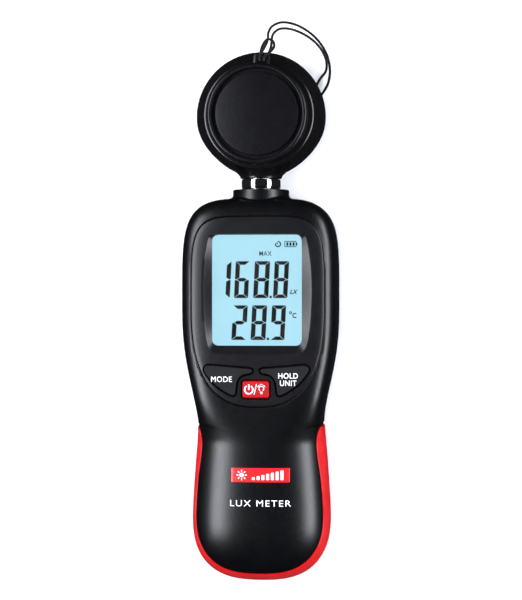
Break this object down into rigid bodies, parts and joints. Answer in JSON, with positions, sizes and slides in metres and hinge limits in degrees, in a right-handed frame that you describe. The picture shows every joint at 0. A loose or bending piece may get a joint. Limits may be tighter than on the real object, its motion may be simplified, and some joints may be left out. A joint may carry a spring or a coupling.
{
  "type": "light meter",
  "caption": "Handheld digital light meter: swivelling round sensor head with a lift-off cap on a lanyard, backlit display, rubber keys and a waisted battery handle.",
  "frame": {"origin": "under the middle of the meter, measured without its lanyard, on the surface that it lies on", "axes": "+Y from the base of the handle to the sensor head, +Z the way the display and the sensor face, +X to the right seen from the front"},
  "size_m": [0.0526, 0.1901, 0.0291],
  "materials": {
    "satin_black": "satin, fine spark texture",
    "panel_black": "satin, fine texture",
    "gloss_black": "glossy",
    "cap_black": "satin",
    "red_rubber": "satin",
    "red_key": "satin",
    "key_black": "matte",
    "chrome": "polished",
    "steel": "machined",
    "nickel": "nickel plated",
    "clear": "clear, polished",
    "display": "cyan backlit display",
    "light_guide": "clear acrylic",
    "white_plastic": "satin",
    "board_green": "solder mask",
    "chip_black": "moulded",
    "silicone": "matte",
    "cell_sleeve": "printed sleeve",
    "filter_glass": "polished",
    "cord": "braided"
  },
  "bodies": {
    "casing": {"front_shell": "satin_black", "rear_shell": "satin_black", "front_panel": "panel_black", "grip_band": "red_rubber", "display_lens": "clear", "lcd_glass": "display", "backlight_guide": "light_guide", "lcd_connector_upper": "silicone", "lcd_connector_lower": "silicone", "keypad_mat": "silicone", "friction_washer": "silicone", "lcd_frame": "white_plastic", "sensor_cable_socket": "white_plastic", "circuit_board": "board_green", "microcontroller": "chip_black", "temperature_sensor": "chip_black", "switch_mode": "steel", "switch_hold": "steel", "switch_power": "steel", "battery_1": "cell_sleeve", "battery_2": "cell_sleeve", "battery_3": "cell_sleeve", "battery_spring_1": "nickel", "battery_spring_2": "nickel", "battery_spring_3": "nickel", "contact_positive": "nickel", "contact_upper_link": "nickel", "contact_lower_link": "nickel", "contact_negative": "nickel", "case_screw_1": "steel", "case_screw_2": "steel", "case_screw_3": "steel", "case_screw_4": "steel", "board_screw_1": "steel", "board_screw_2": "steel"},
    "sensor_head": {"swivel_shaft": "steel", "shaft_clip": "steel", "neck_ring": "chrome", "head_front_shell": "gloss_black", "head_rear_shell": "gloss_black", "head_screw_1": "steel", "head_screw_2": "steel", "head_screw_3": "steel", "sensor_board": "board_green", "photodiode": "chip_black", "correction_filter": "filter_glass", "diffuser_dome": "white_plastic", "sensor_cable": "cord", "lanyard_cord": "cord", "lanyard_knot": "cord"},
    "cap": {"sensor_cap": "cap_black"},
    "mode_key": {"key_mode": "key_black"},
    "hold_key": {"key_hold": "key_black"},
    "power_key": {"key_power": "red_key"},
    "door": {"battery_door": "satin_black"}
  },
  "joints": [
    {"name": "head_swivel", "type": "hinge", "parent": "casing", "child": "sensor_head", "pos_m": [0, 0.0448, 0.0145], "axis": [0, 1, 0], "range_deg": [-135, 135]},
    {"name": "cap_pull", "type": "slide", "parent": "sensor_head", "child": "cap", "axis": [0, 0, 1], "range_m": [0, 0.02], "deforming": ["lanyard_cord"]},
    {"name": "mode_press", "type": "slide", "parent": "casing", "child": "mode_key", "axis": [0, 0, -1], "range_m": [0, 0.0008], "stiffness_N_per_m": 1200},
    {"name": "hold_press", "type": "slide", "parent": "casing", "child": "hold_key", "axis": [0, 0, -1], "range_m": [0, 0.0008], "stiffness_N_per_m": 1200},
    {"name": "power_press", "type": "slide", "parent": "casing", "child": "power_key", "axis": [0, 0, -1], "range_m": [0, 0.0008], "stiffness_N_per_m": 1200},
    {"name": "door_lift", "type": "slide", "parent": "casing", "child": "door", "axis": [0, 0, -1], "range_m": [0, 0.012]}
  ]
}
